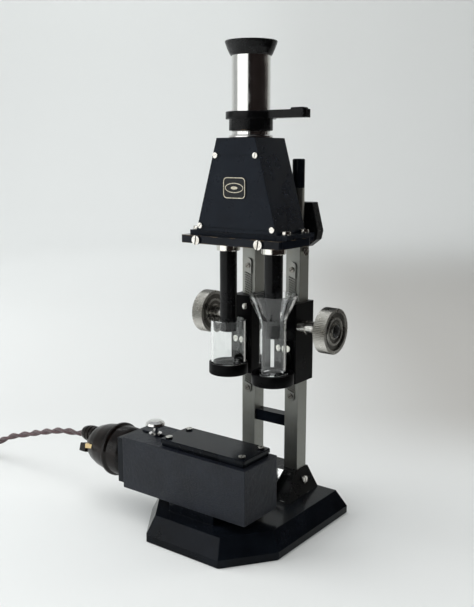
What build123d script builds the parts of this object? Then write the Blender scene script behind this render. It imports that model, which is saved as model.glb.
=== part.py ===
"""A plunger colorimeter: racked stages lift two cups round fixed plungers, with a lamp box on its base."""
import math
import os

from build123d import *

# Frame: X to the right, Y to the back, Z up; the origin is the centre of the base's underside. Millimetres.
BASE_HALF = 60.0          # half the width of the base
BASE_DEPTH_HALF = 66.5
BASE_FRONT_HALF = 33.5    # half the length of the short front edge
BASE_CORNER_Y = -31.0     # where the slanting front corners meet the straight sides
BASE_WALL = 6.0
BASE_TOP = 19.5
BASE_TAPER = 26.0         # degrees, of the sloping border
PAD = (-27.0, 15.2, -48.4, -9.6)
PAD_TOP = 26.7

AXIS_Y = 17.0             # optical axis, and both cups and plungers
CUP_X = 20.9
TUBE_LOW = 146.7          # lower end of the black tubes round the plungers
COLUMN_X = 20.7
COLUMN_WIDE = 12.2
COLUMN_FRONT = 43.2
COLUMN_BACK = 55.9
COLUMN_TOP = 215.8
ROD_RADIUS = 4.7
ROD_Y = 49.5
ROD_TOP = 256.0
CAP_TOP = 277.5

PLATE_HALF = 45.0
PLATE_FRONT = -10.3
PLATE_BOTTOM = 215.8
PLATE_TOP = 221.7
HOUSING_FRONT = -0.4
HOUSING_BACK = 35.5
HOUSING_FOOT = 224.7
HOUSING_TOP = 292.4
HOUSING_FOOT_HALF = 36.3
HOUSING_TOP_HALF = 17.0
SHELL = 3.0

SHAFT_Y = 39.0
PITCH_RADIUS = 3.6        # of the pinions
TEETH = 12
TOOTH_PITCH = 2 * math.pi * PITCH_RADIUS / TEETH
TOOTH_LEAN = math.tan(math.radians(20))
RACK_HALF = 3.2
RACK_FACE = 41.9
RACK_ROOT = 43.3
RACK_BACK = 45.2
RACK_LOW = 91.0
RACK_HIGH = 200.5
TOOTH_LOW = 99.0
TOOTH_HIGH = 189.0
STAGES = {"left": (-1, 0.0), "right": (1, -2.0)}   # side of the stage and how much lower it stands
CARRIAGE_HALF = 9.8
CARRIAGE_FRONT = 33.2
CARRIAGE_BACK = 58.5
CARRIAGE_LOW = 110.0
CARRIAGE_HIGH = 172.0
TONGUE = 1.4              # thickness of the cup holders' upright tongues
SHAFT_Z = 154.5
SHAFT_RADIUS = 2.0
SLIDE_GAP = 0.06
BODY_GAP = 0.3
KNOB_RADIUS = 17.2
KNOB_IN = 52.0
KNOB_OUT = 62.0

BOX = (-73.4, 43.4, -48.9, -9.4, 26.7, 67.3)       # lamp box, outside
BOX_WALL = 2.0
LAMP_Y = -29.1
LAMP_Z = 47.0
DRAWER_END = -81.0
SLOT_RIGHT = -42.0
SLOT_HALF = 2.4
CLAMP_X = -57.0
COVER = (-37.5, 40.0, -45.6, -12.6)
WINDOW = (-24.0, 24.0, 34.0, 58.0)                 # in the lamp box's rear wall, x and z
HOLDER_END = -123.0       # outer end of the lampholder's dome
BAR_Z = 41.5
BAR_TILT = Rot(-16, 0, 0)
GRIP_Z = 52.6             # axis of the small dome that the flex comes out of

FLEX_DIAMETER = 5.4
FLEX_ROUTE = [
    (-137.0, -29.1, 51.4),
    (-162.0, -29.1, 51.4),
    (-189.0, -28.0, 43.0),
    (-217.0, -26.0, 32.5),
    (-243.0, -27.2, 25.0),
    (-264.0, -28.6, 12.0),
    (-282.0, -27.7, 2.75),
    (-300.0, -27.7, 2.75),
]
COIL_CENTRE = (-324.0, -68.4)
COIL_IN = 19.1
COIL_OUT = 43.4
PLUG_Y = -109.1
PLUG_BACK = -300.0        # where the flex enters the plug
PLUG_RADIUS = 13.0

parts = {}


def block(x0, x1, y0, y1, z0, z1):
    return Pos((x0 + x1) / 2, (y0 + y1) / 2, (z0 + z1) / 2) * Box(x1 - x0, y1 - y0, z1 - z0)


def rod(x, y, z0, z1, radius):
    return Pos(x, y, (z0 + z1) / 2) * Cylinder(radius, z1 - z0)


def rod_x(x0, x1, y, z, radius):
    return Pos((x0 + x1) / 2, y, z) * Rot(0, 90, 0) * Cylinder(radius, abs(x1 - x0))


def turned(profile, x, y):
    """A closed profile of (radius, height) points turned about the vertical line at x, y."""
    face = Plane.XZ * make_face(Polyline(*profile, close=True))
    return Pos(x, y, 0) * revolve(face, Axis.Z)


def turned_x(profile, y, z):
    """A closed profile of (x, radius) points turned about the line along X at y, z."""
    face = Plane.XZ * make_face(Polyline(*profile, close=True))
    return Pos(0, y, z) * revolve(face, Axis.X)


def slab(outline, y0, y1):
    """An outline of (x, z) points, thick from y0 to y1."""
    face = Plane.XZ.offset(-y0) * make_face(Polyline(*outline, close=True))
    return extrude(face, -(y1 - y0))


def screw(head, head_high, shank, shank_long):
    """A slotted screw along Z, with the underside of its head at the origin."""
    body = Pos(0, 0, head_high / 2) * Cylinder(head, head_high)
    body += Pos(0, 0, -shank_long / 2) * Cylinder(shank, shank_long)
    return body - Pos(0, 0, head_high) * Box(2 * head + 1, head * 0.28, head_high)


def facing(piece, x, y, z, turn):
    return Pos(x, y, z) * turn * piece


TO_FRONT = Rot(90, 0, 0)
TO_RIGHT = Rot(0, 90, 0)
TO_LEFT = Rot(0, -90, 0)
UPRIGHT = Rot(0, 0, 35)


def mirrored(piece):
    return mirror(piece, Plane.YZ)


def both_sides(piece):
    return [piece, mirrored(piece)]


def make_base():
    outline = [
        (-BASE_FRONT_HALF, -BASE_DEPTH_HALF), (BASE_FRONT_HALF, -BASE_DEPTH_HALF),
        (BASE_HALF, BASE_CORNER_Y), (BASE_HALF, BASE_DEPTH_HALF),
        (-BASE_HALF, BASE_DEPTH_HALF), (-BASE_HALF, BASE_CORNER_Y),
    ]
    plan = make_face(Polyline(*outline, close=True))
    body = extrude(plan, BASE_WALL)
    body += extrude(Pos(0, 0, BASE_WALL) * plan, BASE_TOP - BASE_WALL, taper=BASE_TAPER)
    return body + block(*PAD, BASE_TOP, PAD_TOP)


def make_foot():
    low = Pos(0, 37, BASE_TOP) * Rectangle(75, 42)
    high = Pos(0, 47.5, 35.2) * Rectangle(55.6, 20)
    body = loft([low, high])
    for side in (-1, 1):
        body -= column_bar(side)
    return body


def make_reflector():
    """A tilted mirror on the foot's front slope, which sends the lamp's light up the cups."""
    plate = Rot(36.9, 0, 0) * Box(44, 20, 2)
    return Pos(0, 24.3, 31.2) * plate


def column_bar(side):
    half = COLUMN_WIDE / 2
    x = side * COLUMN_X
    return block(x - half, x + half, COLUMN_FRONT, COLUMN_BACK, BASE_TOP, COLUMN_TOP)


def rack_outline(side, y0, y1):
    """The rack's strip with its round ends."""
    x = side * COLUMN_X
    ends = [Pos(x, (y0 + y1) / 2, z) * Rot(90, 0, 0) * Cylinder(RACK_HALF, y1 - y0)
            for z in (RACK_LOW + RACK_HALF, RACK_HIGH - RACK_HALF)]
    strip = block(x - RACK_HALF, x + RACK_HALF, y0, y1, RACK_LOW + RACK_HALF, RACK_HIGH - RACK_HALF)
    return strip + ends


def make_column(side):
    body = column_bar(side) + rod(side * COLUMN_X, ROD_Y, COLUMN_TOP, ROD_TOP, ROD_RADIUS)
    return body - rack_outline(side, COLUMN_FRONT - 1, RACK_BACK)


def make_column_cap(side):
    cap = rod(side * COLUMN_X, ROD_Y, ROD_TOP, CAP_TOP, ROD_RADIUS)
    return fillet(cap.edges().group_by(Axis.Z)[-1], 1.2)


def make_rack(side, lower):
    """Leaning teeth, with a gap centred on the pinion, between two plain round ends."""
    tip, root = 0.225, 0.625
    low_z, high_z = RACK_LOW - 5, RACK_HIGH + 5
    profile = [(RACK_BACK, low_z), (RACK_FACE, low_z)]
    centre = SHAFT_Z + lower
    first = math.ceil((TOOTH_LOW - centre) / TOOTH_PITCH)
    last = math.floor((TOOTH_HIGH - centre) / TOOTH_PITCH)
    gap = TOOTH_PITCH / 2
    for number in range(first, last + 1):
        z = centre + number * TOOTH_PITCH
        profile += [(RACK_FACE, z - gap + tip), (RACK_ROOT, z - gap + root)]
        profile += [(RACK_ROOT, z + gap - root), (RACK_FACE, z + gap - tip)]
    profile += [(RACK_FACE, high_z), (RACK_BACK, high_z)]
    x = side * COLUMN_X
    shift = RACK_HALF * TOOTH_LEAN
    face = Pos(x - RACK_HALF, 0, shift) * (Plane.YZ * make_face(Polyline(*profile, close=True)))
    lean = Vector(1, 0, -TOOTH_LEAN)
    long = 2 * RACK_HALF * lean.length
    return extrude(face, long, dir=lean) & rack_outline(side, RACK_FACE, RACK_BACK)


def make_rack_screws():
    return [facing(screw(2.2, 0.8, 1.2, 2.5), side * COLUMN_X, RACK_FACE, z, TO_FRONT * UPRIGHT)
            for side in (-1, 1) for z in (RACK_LOW + 4, RACK_HIGH - 6)]


def make_side_screws():
    foot = facing(screw(3.0, 1.8, 1.6, 4.0), 32.4, 44.5, 28.5, TO_RIGHT * Rot(0, 0, 20))
    top = facing(screw(3.5, 2.0, 1.8, 4.0), COLUMN_X + COLUMN_WIDE / 2, ROD_Y, 208.5, TO_RIGHT)
    return both_sides(foot) + both_sides(top)


def make_head_bracket():
    outline = [(-25, 211), (25, 211), (33, 217), (34.5, 224), (29, 245), (-29, 245), (-34.5, 224), (-33, 217)]
    return slab(outline, 56.0, 64.5)


def make_head_plate():
    front = block(-PLATE_HALF, PLATE_HALF, PLATE_FRONT, 29, PLATE_BOTTOM, PLATE_TOP)
    front = fillet(front.edges().filter_by(Axis.Z), 2.0)
    return front + block(-31, 31, 29, 56, PLATE_BOTTOM, PLATE_TOP)


def make_plate_screws():
    return [facing(screw(3.5, 1.6, 1.8, 8.0), x, PLATE_FRONT, 218.4, TO_FRONT * Rot(0, 0, 80))
            for x in (-29.5, 26.8)]


def housing_outline(inset):
    slope = (HOUSING_FOOT_HALF - HOUSING_TOP_HALF) / (HOUSING_TOP - HOUSING_FOOT)
    low, high = HOUSING_FOOT + inset, HOUSING_TOP - inset
    low_half = HOUSING_FOOT_HALF - inset * (1 + slope)
    high_half = HOUSING_TOP_HALF - inset * (1 - slope)
    return [(-low_half, low), (low_half, low), (high_half, high), (-high_half, high)]


def make_prism_housing():
    body = slab(housing_outline(0), HOUSING_FRONT, HOUSING_BACK)
    body -= slab(housing_outline(SHELL), HOUSING_FRONT - 1, HOUSING_BACK - SHELL)
    body += block(-44, 44, HOUSING_FRONT, HOUSING_BACK, PLATE_TOP, HOUSING_FOOT)
    body -= rod(0, AXIS_Y, HOUSING_TOP - SHELL - 1, HOUSING_TOP + 1, 11)
    for side in (-1, 1):
        body -= rod(side * CUP_X, AXIS_Y, PLATE_TOP - 1, HOUSING_FOOT + SHELL + 1, 5.2)
    return body


def make_front_screws():
    return [facing(screw(2.1, 1.1, 1.1, 4.0), x, HOUSING_FRONT - 1.6, z, TO_FRONT * Rot(0, 0, turn))
            for x, z, turn in ((-17.8, 280, 20), (17.8, 280, 75), (-32.5, 228.5, 50), (32.5, 228.5, 10))]


def make_badge():
    """A plain plate with a raised rim and an oval emblem."""
    plate = RectangleRounded(19.5, 15.0, 3.0)
    field = RectangleRounded(18.3, 13.8, 2.5)
    oval = Ellipse(8.2, 3.6) - Ellipse(7.6, 3.0)
    lens = Ellipse(3.0, 1.1)
    body = extrude(plate, 0.9) - Pos(0, 0, 0.6) * extrude(field, 1)
    body += Pos(0, 0, 0.5) * extrude(oval, 0.4)
    body += Pos(0, 0, 0.5) * extrude(lens, 0.4)
    return Pos(-0.4, HOUSING_FRONT - 1.6, 257) * Rot(90, 0, 0) * body


def make_housing_screws():
    right = [facing(screw(3.5, 2.8, 1.7, 6.0), 40, y, HOUSING_FOOT, Rot(0, 0, turn))
             for y, turn in ((4, 30), (27.5, 100))]
    return right + [mirrored(one) for one in right]


def make_prisms():
    """Two rhomb prisms that bring the beams together, and the divided plate on top of them."""
    floor = HOUSING_FOOT + SHELL
    wide, step = 10.0, 15.4
    outer = CUP_X + wide / 2
    outline = [(outer - wide, floor), (outer, floor), (outer - step, floor + step),
               (outer - wide - step, floor + step)]
    rhomb = slab(outline, AXIS_Y - 6, AXIS_Y + 6)
    top = block(-8.5, 8.5, AXIS_Y - 6, AXIS_Y + 6, floor + step, floor + step + 6)
    return both_sides(rhomb) + [top]


def make_eyepiece_socket():
    outline = [(12.6, HOUSING_TOP), (16, HOUSING_TOP), (16, 293.8), (15.4, 294.5), (14, 294.5), (14, 304),
               (12.6, 304)]
    return turned(outline, 0, AXIS_Y)


def make_collar():
    """The two-step ring round the tube, with the arm that turns it."""
    ring = [(14.06, 297.5), (15.6, 297.5), (16, 298), (16, 305.7), (18.4, 305.7), (18.4, 310.6), (18, 311),
            (14.06, 311)]
    arm = block(15, 48.8, AXIS_Y - 4.5, AXIS_Y + 4.5, 305.9, 311.6)
    arm = fillet(arm.edges().filter_by(Axis.Z).group_by(Axis.X)[-1], 2.5)
    grip = block(36.5, 46.5, AXIS_Y - 3.6, AXIS_Y + 3.6, 311.6, 313)
    grip = fillet(grip.edges().group_by(Axis.Z)[-1], 1.0)
    return turned(ring, 0, AXIS_Y) + arm + grip - rod(0, AXIS_Y, 297, 315, 14.06)


def make_draw_tube():
    outline = [(11.0, 296), (12.54, 296), (12.54, 304.4), (14, 304.4), (14, 352), (12.8, 352), (12.8, 306),
               (11, 306)]
    return turned(outline, 0, AXIS_Y)


def make_eyecup():
    outline = [
        (14, 350), (14.6, 350), (15.4, 351), (17.1, 354.6), (18.4, 358), (18.9, 359.4), (18.7, 360),
        (17.6, 359.8), (14.5, 356.6), (9, 354.6), (5, 354), (5, 352), (14, 352),
    ]
    return turned(outline, 0, AXIS_Y)


def make_lenses():
    eye = turned([(0, 346), (12.8, 346), (12.8, 348), (8, 349.6), (0, 350.4)], 0, AXIS_Y)
    field = turned([(0, 321.2), (7, 321.8), (12.8, 323.4), (12.8, 325), (0, 325)], 0, AXIS_Y)
    return [eye, field]


def make_plunger_collar(side, bore):
    outline = [(bore, 209), (8.6, 209), (9, 209.4), (9, 213.4), (8.2, 213.9), (8.2, PLATE_BOTTOM),
               (bore, PLATE_BOTTOM)]
    return turned(outline, side * CUP_X, AXIS_Y)


def make_plunger_tube(side, radius, tip_radius, step):
    """A black tube round the plunger rod, thinner below its step if it has one."""
    x = side * CUP_X
    tube = rod(x, AXIS_Y, step, PLATE_TOP, radius) + rod(x, AXIS_Y, TUBE_LOW, step + 1, tip_radius)
    return tube - rod(x, AXIS_Y, TUBE_LOW - 1, PLATE_TOP + 1, 4)


def make_lamp_box():
    x0, x1, y0, y1, z0, z1 = BOX
    body = block(*BOX)
    body -= block(x0 - 1, x1 - BOX_WALL, y0 + BOX_WALL, y1 - BOX_WALL, z0 + BOX_WALL, z1 - BOX_WALL)
    body -= block(x0 - 1, SLOT_RIGHT, LAMP_Y - SLOT_HALF, LAMP_Y + SLOT_HALF, z1 - BOX_WALL - 1, z1 + 1)
    left, right, low, high = WINDOW
    return body - block(left, right, y1 - BOX_WALL - 1, y1 + 1, low, high)


def make_cover_plate():
    """A plate with a stepped edge, standing on a narrower plinth."""
    x0, x1, y0, y1 = COVER
    low, high = BOX[5], BOX[5] + 5.8
    plate = block(x0, x1, y0, y1, high - 3.0, high)
    plate = fillet(plate.edges().filter_by(Axis.Z), 1.5)
    plate = chamfer(plate.edges().group_by(Axis.Z)[-1], 0.5)
    return plate + block(x0 + 1.2, x1 - 1.2, y0 + 1.2, y1 - 1.2, low, high - 3.0)


def make_cover_screws():
    x0, x1, y0, y1 = COVER
    corners = ((x0 + 5, y0 + 5, 25), (x1 - 5, y0 + 5, 110), (x0 + 5, y1 - 5, 70), (x1 - 5, y1 - 5, 5))
    return [facing(screw(2.6, 1.3, 1.3, 4.0), x, y, BOX[5] + 5.8, Rot(0, 0, turn)) for x, y, turn in corners]


def make_carriage(side, lower):
    x = side * COLUMN_X
    low, high = CARRIAGE_LOW + lower, CARRIAGE_HIGH + lower
    shaft_z = SHAFT_Z + lower
    half = COLUMN_WIDE / 2 + SLIDE_GAP
    body = block(x - CARRIAGE_HALF, x + CARRIAGE_HALF, CARRIAGE_FRONT, CARRIAGE_BACK, low, high)
    body = chamfer(body.edges().filter_by(Axis.Z), 0.6)
    body -= block(x - half, x + half, COLUMN_FRONT - SLIDE_GAP, COLUMN_BACK + SLIDE_GAP, low - 1, high + 1)
    body -= block(x - 3.7, x + 3.7, RACK_FACE - 1.2, COLUMN_FRONT, low - 1, high + 1)
    body -= rod_x(x - 3.6, x + 3.6, SHAFT_Y, shaft_z, PITCH_RADIUS + 1.0)
    body -= block(x - 3.6, x + 3.6, SHAFT_Y, COLUMN_FRONT, shaft_z - 4.6, shaft_z + 4.6)
    return body - rod_x(x, x + side * (CARRIAGE_HALF + 1), SHAFT_Y, shaft_z, SHAFT_RADIUS + 0.05)


def make_stage_screws(side, lower):
    low_screw = screw(2.6, 0.9, 1.3, 4.0)
    face, z = CARRIAGE_FRONT - TONGUE, 137.5 + lower
    pair = [facing(low_screw, side * COLUMN_X + dx, face, z, TO_FRONT * UPRIGHT) for dx in (-3.4, 3.4)]
    guide = facing(screw(2.4, 0.8, 1.2, 3.0), side * (COLUMN_X - 4), CARRIAGE_FRONT, 163.5 + lower,
                   TO_FRONT * Rot(0, 0, 80))
    return pair + [guide]


def make_cup_holder(side, lower, outer, inner):
    """A ring with a lip under the cup, and the upright tongue that is screwed to the carriage."""
    x = side * CUP_X
    low = 113.0 + lower
    lip = inner - 2.6
    high = low + 8.8
    section = [(lip, low), (outer - 0.6, low), (outer, low + 0.6), (outer, high), (inner, high),
               (inner, low + 2.5), (lip, low + 2.5)]
    ring = turned(section, x, AXIS_Y)
    tongue = block(x - 6.5, x + 6.5, CARRIAGE_FRONT - TONGUE, CARRIAGE_FRONT, low, 144 + lower)
    tongue = fillet(tongue.edges().filter_by(Axis.Y).group_by(Axis.Z)[-1], 3.0)
    bridge = block(x - 6.5, x + 6.5, AXIS_Y + 10, CARRIAGE_FRONT - 1, low, low + 5)
    seat = rod(x, AXIS_Y, low + 2.5, 160, inner) + rod(x, AXIS_Y, low - 1, low + 3, lip)
    return ring + tongue + bridge - seat


def make_straight_cup():
    outer, wall, low, high = 13.8, 1.5, 115.5, 155.5
    inner = outer - wall
    profile = [(0, low), (outer - 2.4, low), (outer - 0.7, low + 0.7), (outer, low + 2.4),
               (outer, high - 0.4), (outer - 0.4, high), (inner, high), (inner, low + 4),
               (inner - 1, low + 3), (0, low + 3)]
    return turned(profile, -CUP_X, AXIS_Y)


def make_hock_cup():
    """A stemmed cup: round foot, narrow straight stem and a wide mouth."""
    low = 113.5
    profile = [
        (0, low), (13.0, low), (13.2, low + 1.2), (11.8, low + 3.4), (10.4, low + 5.5), (10.2, 157.5),
        (10.7, 160.5), (16.6, 173.2), (17.7, 176.6), (18.0, 179), (16.6, 179), (16.2, 176.8),
        (15.2, 174), (9.2, 161), (8.6, 158), (8.6, low + 5), (7.6, low + 4), (0, low + 4),
    ]
    return turned(profile, CUP_X, AXIS_Y)


def make_shaft(side, lower):
    """Pinion, its thin shaft, and the turned sleeve outside the carriage."""
    x = side * COLUMN_X
    z = SHAFT_Z + lower
    tip, root, half_tip, half_root = 4.1, 2.75, 0.2, 0.42
    outline = []
    for tooth in range(TEETH):
        turn = 2 * math.pi * tooth / TEETH
        for radius, offset in ((root, -half_root), (tip, -half_tip), (tip, half_tip), (root, half_root)):
            y = radius * math.cos(turn) - offset * math.sin(turn)
            outline.append((y, radius * math.sin(turn) + offset * math.cos(turn)))
    half_long = 3.0
    twist = -math.degrees(2 * half_long * TOOTH_LEAN / PITCH_RADIUS)
    section = Rot(-twist / 2, 0, 0) * (Plane.YZ * make_face(Polyline(*outline, close=True)))
    section = Pos(x - half_long, SHAFT_Y, z) * section
    start = Vector(x - half_long, SHAFT_Y, z)
    pinion = Solid.extrude_linear_with_rotation(section.face(), start, Vector(2 * half_long, 0, 0), twist)
    inner_end = x - side * half_long
    sleeve_start = side * (COLUMN_X + CARRIAGE_HALF + BODY_GAP)
    shaft = rod_x(inner_end, side * (KNOB_OUT - 2), SHAFT_Y, z, SHAFT_RADIUS)
    sleeve = rod_x(sleeve_start, side * KNOB_IN, SHAFT_Y, z, 5.2)
    for groove in (37.0, 44.0):
        ring = rod_x(side * groove, side * (groove + 1.2), SHAFT_Y, z, 6)
        sleeve -= ring - rod_x(side * groove, side * (groove + 1.2), SHAFT_Y, z, 4.6)
    return shaft + sleeve + pinion


def make_knob(side, lower):
    """A disc with a fluted rim and turned rings on its outer face."""
    z = SHAFT_Z + lower
    flutes = 84
    outline = []
    for number in range(2 * flutes):
        radius = KNOB_RADIUS if number % 2 else KNOB_RADIUS - 0.55
        turn = math.pi * number / flutes
        outline.append((radius * math.cos(turn), radius * math.sin(turn)))
    disc = Plane.YZ * make_face(Polyline(*outline, close=True))
    body = Pos(KNOB_IN, SHAFT_Y, z) * extrude(disc, KNOB_OUT - KNOB_IN)
    deep, crest, clear = KNOB_OUT - 1.4, KNOB_OUT - 0.5, KNOB_OUT + 1
    rings = [(deep, 5), (deep, 8.4), (crest, 8.8), (crest, 10.4), (deep, 10.8), (deep, 14), (clear, 14.6),
             (clear, 5)]
    body -= turned_x(rings, SHAFT_Y, z)
    body -= rod_x(KNOB_IN - 1, KNOB_OUT - 2, SHAFT_Y, z, SHAFT_RADIUS)
    return body if side > 0 else mirrored(body)


def make_knob_cap(side, lower):
    x = KNOB_OUT
    profile = [(x, 0), (x, 5), (x + 0.5, 4.9), (x + 1.1, 3.6), (x + 1.3, 0)]
    body = turned_x(profile, SHAFT_Y, SHAFT_Z + lower)
    return body if side > 0 else mirrored(body)


def make_lamp_carriage():
    """The inner box that slides in the lamp box, open to the right, with the lampholder in its end."""
    x0, x1 = DRAWER_END, -45.0
    y0, y1 = BOX[2] + BOX_WALL + BODY_GAP, BOX[3] - BOX_WALL - BODY_GAP
    z0, z1 = BOX[4] + BOX_WALL + BODY_GAP, BOX[5] - BOX_WALL - BODY_GAP
    body = block(x0, x1, y0, y1, z0, z1)
    body -= block(x0 + 2, x1 + 1, y0 + 1.5, y1 - 1.5, z0 + 1.5, z1 - 2.5)
    body -= rod_x(x0 - 1, x0 + 3, LAMP_Y, LAMP_Z, 12.5)
    return body - rod(CLAMP_X, LAMP_Y, z1 - 4, z1 + 1, 2.05)


def make_clamp_knob():
    profile = [
        (0, 62.6), (2, 62.6), (2, 67.6), (5, 67.6), (5, 68.6), (2.6, 69.4), (2.4, 73.4), (4.4, 74.2),
        (7.0, 74.6), (7.6, 75.8), (7.0, 77.4), (4.6, 78.8), (0, 79.4),
    ]
    return turned(profile, CLAMP_X, LAMP_Y)


def make_lampholder():
    """Bakelite barrel and dome, with the slot for the switch bar in its end."""
    dome = [
        (HOLDER_END, 0), (HOLDER_END, 10.5), (-121.6, 12.6), (-117, 15.2), (-110, 17.6), (-102, 19.0),
        (-97, 19.4), (-97, 0),
    ]
    barrel = rod_x(-97, DRAWER_END, LAMP_Y, LAMP_Z, 17.2) + rod_x(DRAWER_END, -66, LAMP_Y, LAMP_Z, 12.5)
    body = turned_x(dome, LAMP_Y, LAMP_Z) + barrel
    body -= rod_x(-80, -65, LAMP_Y, LAMP_Z, 11.0)
    slot = Box(5, 12, 5.4)
    return body - Pos(HOLDER_END + 2.4, LAMP_Y, BAR_Z) * BAR_TILT * slot



def make_skirt_ring():
    profile = [
        (-97, 17.2), (-97, 20.9), (-96.4, 21.4), (-94.2, 21.4), (-93.4, 20.6), (-92.6, 19.6), (-84, 19.6),
        (-82.6, 19.0), (DRAWER_END, 17.6), (DRAWER_END, 17.2),
    ]
    return turned_x(profile, LAMP_Y, LAMP_Z)


def make_switch_bar():
    bar = Pos(HOLDER_END - 3.6, 0, 0) * Box(6.4, 26, 6.6)
    bar = fillet(bar.edges().filter_by(Axis.X), 0.8)
    tongue = Pos(HOLDER_END + 1.7, 0, 0) * Box(5.2, 4.6, 4.6)
    return Pos(0, LAMP_Y, BAR_Z) * BAR_TILT * (bar + tongue)


def make_cord_grip():
    """The small ribbed dome that the flex comes out of."""
    profile = [
        (HOLDER_END, 0), (HOLDER_END, 7.0), (-125.4, 7.0), (-125.9, 6.4), (-126.6, 6.4), (-127.1, 7.0),
        (-129.4, 6.9), (-130.0, 6.2), (-130.8, 6.1), (-131.4, 6.5), (-134.2, 5.9), (-136.2, 5.0), (-137, 4.2),
        (-137, 0),
    ]
    return turned_x(profile, LAMP_Y, GRIP_Z)


def make_bulb():
    profile = [(-58, 0), (-58, 8.5), (-54, 10.5), (-48, 13.4), (-40, 14.6), (-32, 13.6), (-25, 9.4),
               (-21.8, 4.4), (-21, 0)]
    return turned_x(profile, LAMP_Y, LAMP_Z)


def make_bulb_cap():
    cap = rod_x(-80, -58, LAMP_Y, LAMP_Z, 10.9)
    return cap + Pos(-71, LAMP_Y, LAMP_Z) * Cylinder(1.0, 24.6)


def make_terminal():
    """The brass end of a contact strip, seen at the side of the dome."""
    return Pos(-113.5, LAMP_Y - 15.6, LAMP_Z + 3.2) * Rot(0, 0, 22) * Box(8, 3.4, 3.4)


def cord_path():
    points = [Vector(*point) for point in FLEX_ROUTE]
    radii = []
    for before, here, after in zip(points, points[1:], points[2:]):
        turn = math.radians((here - before).get_angle(after - here))
        shorter = min((here - before).length, (after - here).length)
        radii.append(0.45 * shorter / math.tan(turn / 2))
    print("flex radii", [round(radius, 1) for radius in radii])
    return FilletPolyline(*FLEX_ROUTE, radius=radii)


def make_flex():
    path = cord_path()
    tube = sweep(Plane(path @ 0, z_dir=path % 0) * Circle(FLEX_DIAMETER / 2), path=path)
    print("flex length", round(path.length, 1), "volume ratio",
          round(tube.volume / (math.pi * FLEX_DIAMETER ** 2 / 4 * path.length), 4))
    return tube


def make_flex_coil():
    """The outer shape of the wound flex, with its two ends."""
    x, y = COIL_CENTRE
    high = 2 * FLEX_DIAMETER + 0.1
    ring = turned([(COIL_IN, 0.05), (COIL_OUT, 0.05), (COIL_OUT, high), (COIL_IN, high)], x, y)
    start = rod_x(x, FLEX_ROUTE[-1][0], FLEX_ROUTE[-1][1], FLEX_ROUTE[-1][2], FLEX_DIAMETER / 2)
    rise = Edge.make_line((x, PLUG_Y, high - FLEX_DIAMETER / 2), (PLUG_BACK, PLUG_Y, PLUG_RADIUS))
    end = sweep(Plane(rise @ 0, z_dir=rise % 0) * Circle(FLEX_DIAMETER / 2), path=rise)
    end -= block(PLUG_BACK, PLUG_BACK + 9, PLUG_Y - 9, PLUG_Y + 9, 0, 30)
    return ring + start + end


def make_plug():
    x = PLUG_BACK
    profile = [(x, 0), (x, 5), (x + 6, 6.4), (x + 12, 10.6), (x + 15, 12.7), (x + 17, PLUG_RADIUS),
               (x + 31, PLUG_RADIUS), (x + 32, 12.2), (x + 32, 0)]
    return turned_x(profile, PLUG_Y, PLUG_RADIUS)


def make_plug_pins():
    x = PLUG_BACK + 32
    pin = rod_x(x, x + 18, PLUG_Y - 7, PLUG_RADIUS, 2.3)
    return [pin, Pos(0, 14, 0) * pin]


def make_stand():
    parts["base"] = make_base()
    parts["side_screws"] = make_side_screws()
    parts["foot"] = make_foot() - parts["side_screws"]
    parts["reflector"] = make_reflector()
    parts["foot"] -= parts["reflector"]
    parts["column_caps"] = [make_column_cap(side) for side in (-1, 1)]
    parts["rack_screws"] = make_rack_screws()
    for name, (side, lower) in STAGES.items():
        parts[name + "_column"] = make_column(side) - parts["side_screws"] - parts["rack_screws"]
        parts[name + "_rack"] = make_rack(side, lower) - parts["rack_screws"]
    parts["crossbar"] = block(-COLUMN_X + COLUMN_WIDE / 2, COLUMN_X - COLUMN_WIDE / 2, 45, 54, 68.5, 77.3)


def make_head():
    parts["head_bracket"] = make_head_bracket()
    parts["plate_screws"] = make_plate_screws()
    parts["housing_screws"] = make_housing_screws()
    parts["left_plunger_tube"] = make_plunger_tube(-1, 6.6, 6.6, 200.0)
    parts["right_plunger_tube"] = make_plunger_tube(1, 6.9, 5.4, 174.0)
    parts["plunger_collars"] = [make_plunger_collar(-1, 6.6), make_plunger_collar(1, 6.9)]
    parts["plunger_rods"] = [rod(side * CUP_X, AXIS_Y, 146, PLATE_TOP, 4) for side in (-1, 1)]
    plate = make_head_plate() - parts["plate_screws"] - parts["housing_screws"]
    for side, bore in ((-1, 6.6), (1, 6.9)):
        plate -= rod(side * CUP_X, AXIS_Y, PLATE_BOTTOM - 1, PLATE_TOP + 1, bore)
        plate -= rod(side * COLUMN_X, ROD_Y, PLATE_BOTTOM - 1, PLATE_TOP + 1, ROD_RADIUS)
    parts["head_plate"] = plate
    parts["front_screws"] = make_front_screws()
    parts["prism_housing"] = make_prism_housing() - parts["housing_screws"] - parts["front_screws"]
    front = slab(housing_outline(0), HOUSING_FRONT - 1.6, HOUSING_FRONT)
    parts["front_plate"] = front - parts["front_screws"]
    parts["badge"] = make_badge()
    parts["prisms"] = make_prisms()


def make_eyepiece():
    parts["eyepiece_socket"] = make_eyepiece_socket()
    parts["collar"] = make_collar()
    parts["draw_tube"] = make_draw_tube()
    parts["eyecup"] = make_eyecup()
    parts["lenses"] = make_lenses()


def make_stages():
    rings = {"left": (15.2, 13.9), "right": (16.0, 13.3)}
    for name, (side, lower) in STAGES.items():
        screws = make_stage_screws(side, lower)
        parts[name + "_stage_screws"] = screws
        parts[name + "_carriage"] = make_carriage(side, lower) - screws
        parts[name + "_cup_holder"] = make_cup_holder(side, lower, *rings[name]) - screws
        parts[name + "_pinion_shaft"] = make_shaft(side, lower)
        parts[name + "_knob"] = make_knob(side, lower)
        parts[name + "_knob_cap"] = make_knob_cap(side, lower)
    parts["straight_cup"] = make_straight_cup()
    parts["hock_cup"] = make_hock_cup()


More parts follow.
